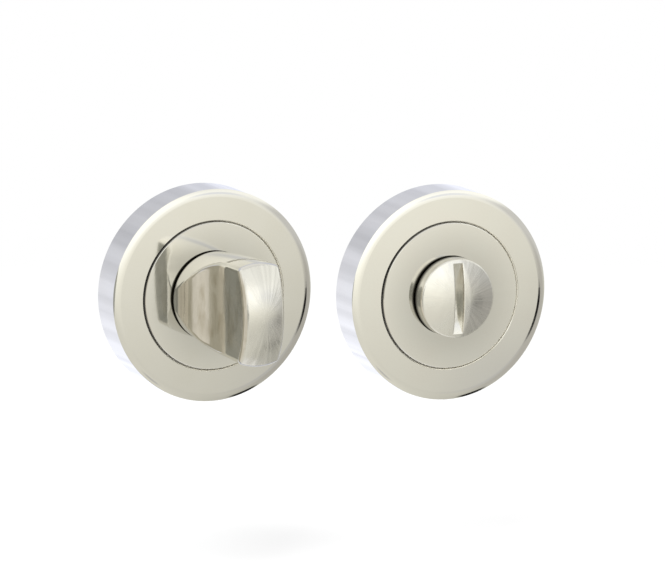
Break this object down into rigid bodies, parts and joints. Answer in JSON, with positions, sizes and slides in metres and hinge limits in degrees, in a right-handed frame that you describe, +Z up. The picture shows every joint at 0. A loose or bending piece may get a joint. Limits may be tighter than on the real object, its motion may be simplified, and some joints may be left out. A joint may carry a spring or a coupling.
{
  "type": "bathroom turn and release",
  "caption": "Round-rose bathroom thumb turn with a scooped, dome-ended blade and square spindle, and its matching coin-slot emergency release",
  "frame": {"origin": "on the thumb turn's axis, in the plane of the door face that the turn's rose is screwed to", "axes": "+X from the turn to the release beside it, +Y into the door along the spindle, +Z up"},
  "size_m": [0.115, 0.0866, 0.0568],
  "materials": {
    "turn_rose_cover": "polished nickel plate",
    "turn_inner_rose": "polished nickel plate",
    "turn_bush": "moulded nylon",
    "turn_thrust_washer": "plain steel",
    "turn_spring_washer": "plain steel",
    "turn_circlip": "plain steel",
    "release_rose_cover": "polished nickel plate",
    "release_inner_rose": "polished nickel plate",
    "release_bush": "moulded nylon",
    "release_thrust_washer": "plain steel",
    "release_spring_washer": "plain steel",
    "release_circlip": "plain steel",
    "thumb_turn": "polished nickel plate",
    "coin_release": "polished nickel plate",
    "spindle": "plain steel",
    "spindle_pin": "plain steel"
  },
  "bodies": {
    "roses": {"turn_rose_cover": "turn_rose_cover", "turn_inner_rose": "turn_inner_rose", "turn_bush": "turn_bush", "turn_thrust_washer": "turn_thrust_washer", "release_rose_cover": "release_rose_cover", "release_inner_rose": "release_inner_rose", "release_bush": "release_bush", "release_thrust_washer": "release_thrust_washer"},
    "turn": {"thumb_turn": "thumb_turn", "spindle": "spindle", "spindle_pin": "spindle_pin", "turn_spring_washer": "turn_spring_washer", "turn_circlip": "turn_circlip"},
    "release": {"coin_release": "coin_release", "release_spring_washer": "release_spring_washer", "release_circlip": "release_circlip"}
  },
  "joints": [
    {"name": "turn_pivot", "type": "hinge", "parent": "roses", "child": "turn", "pos_m": [0, 0, 0], "axis": [0, -1, 0], "range_deg": [-90, 90]},
    {"name": "release_pivot", "type": "hinge", "parent": "roses", "child": "release", "pos_m": [0.063, 0, -0.0048], "axis": [0, -1, 0], "range_deg": [-90, 90]}
  ]
}
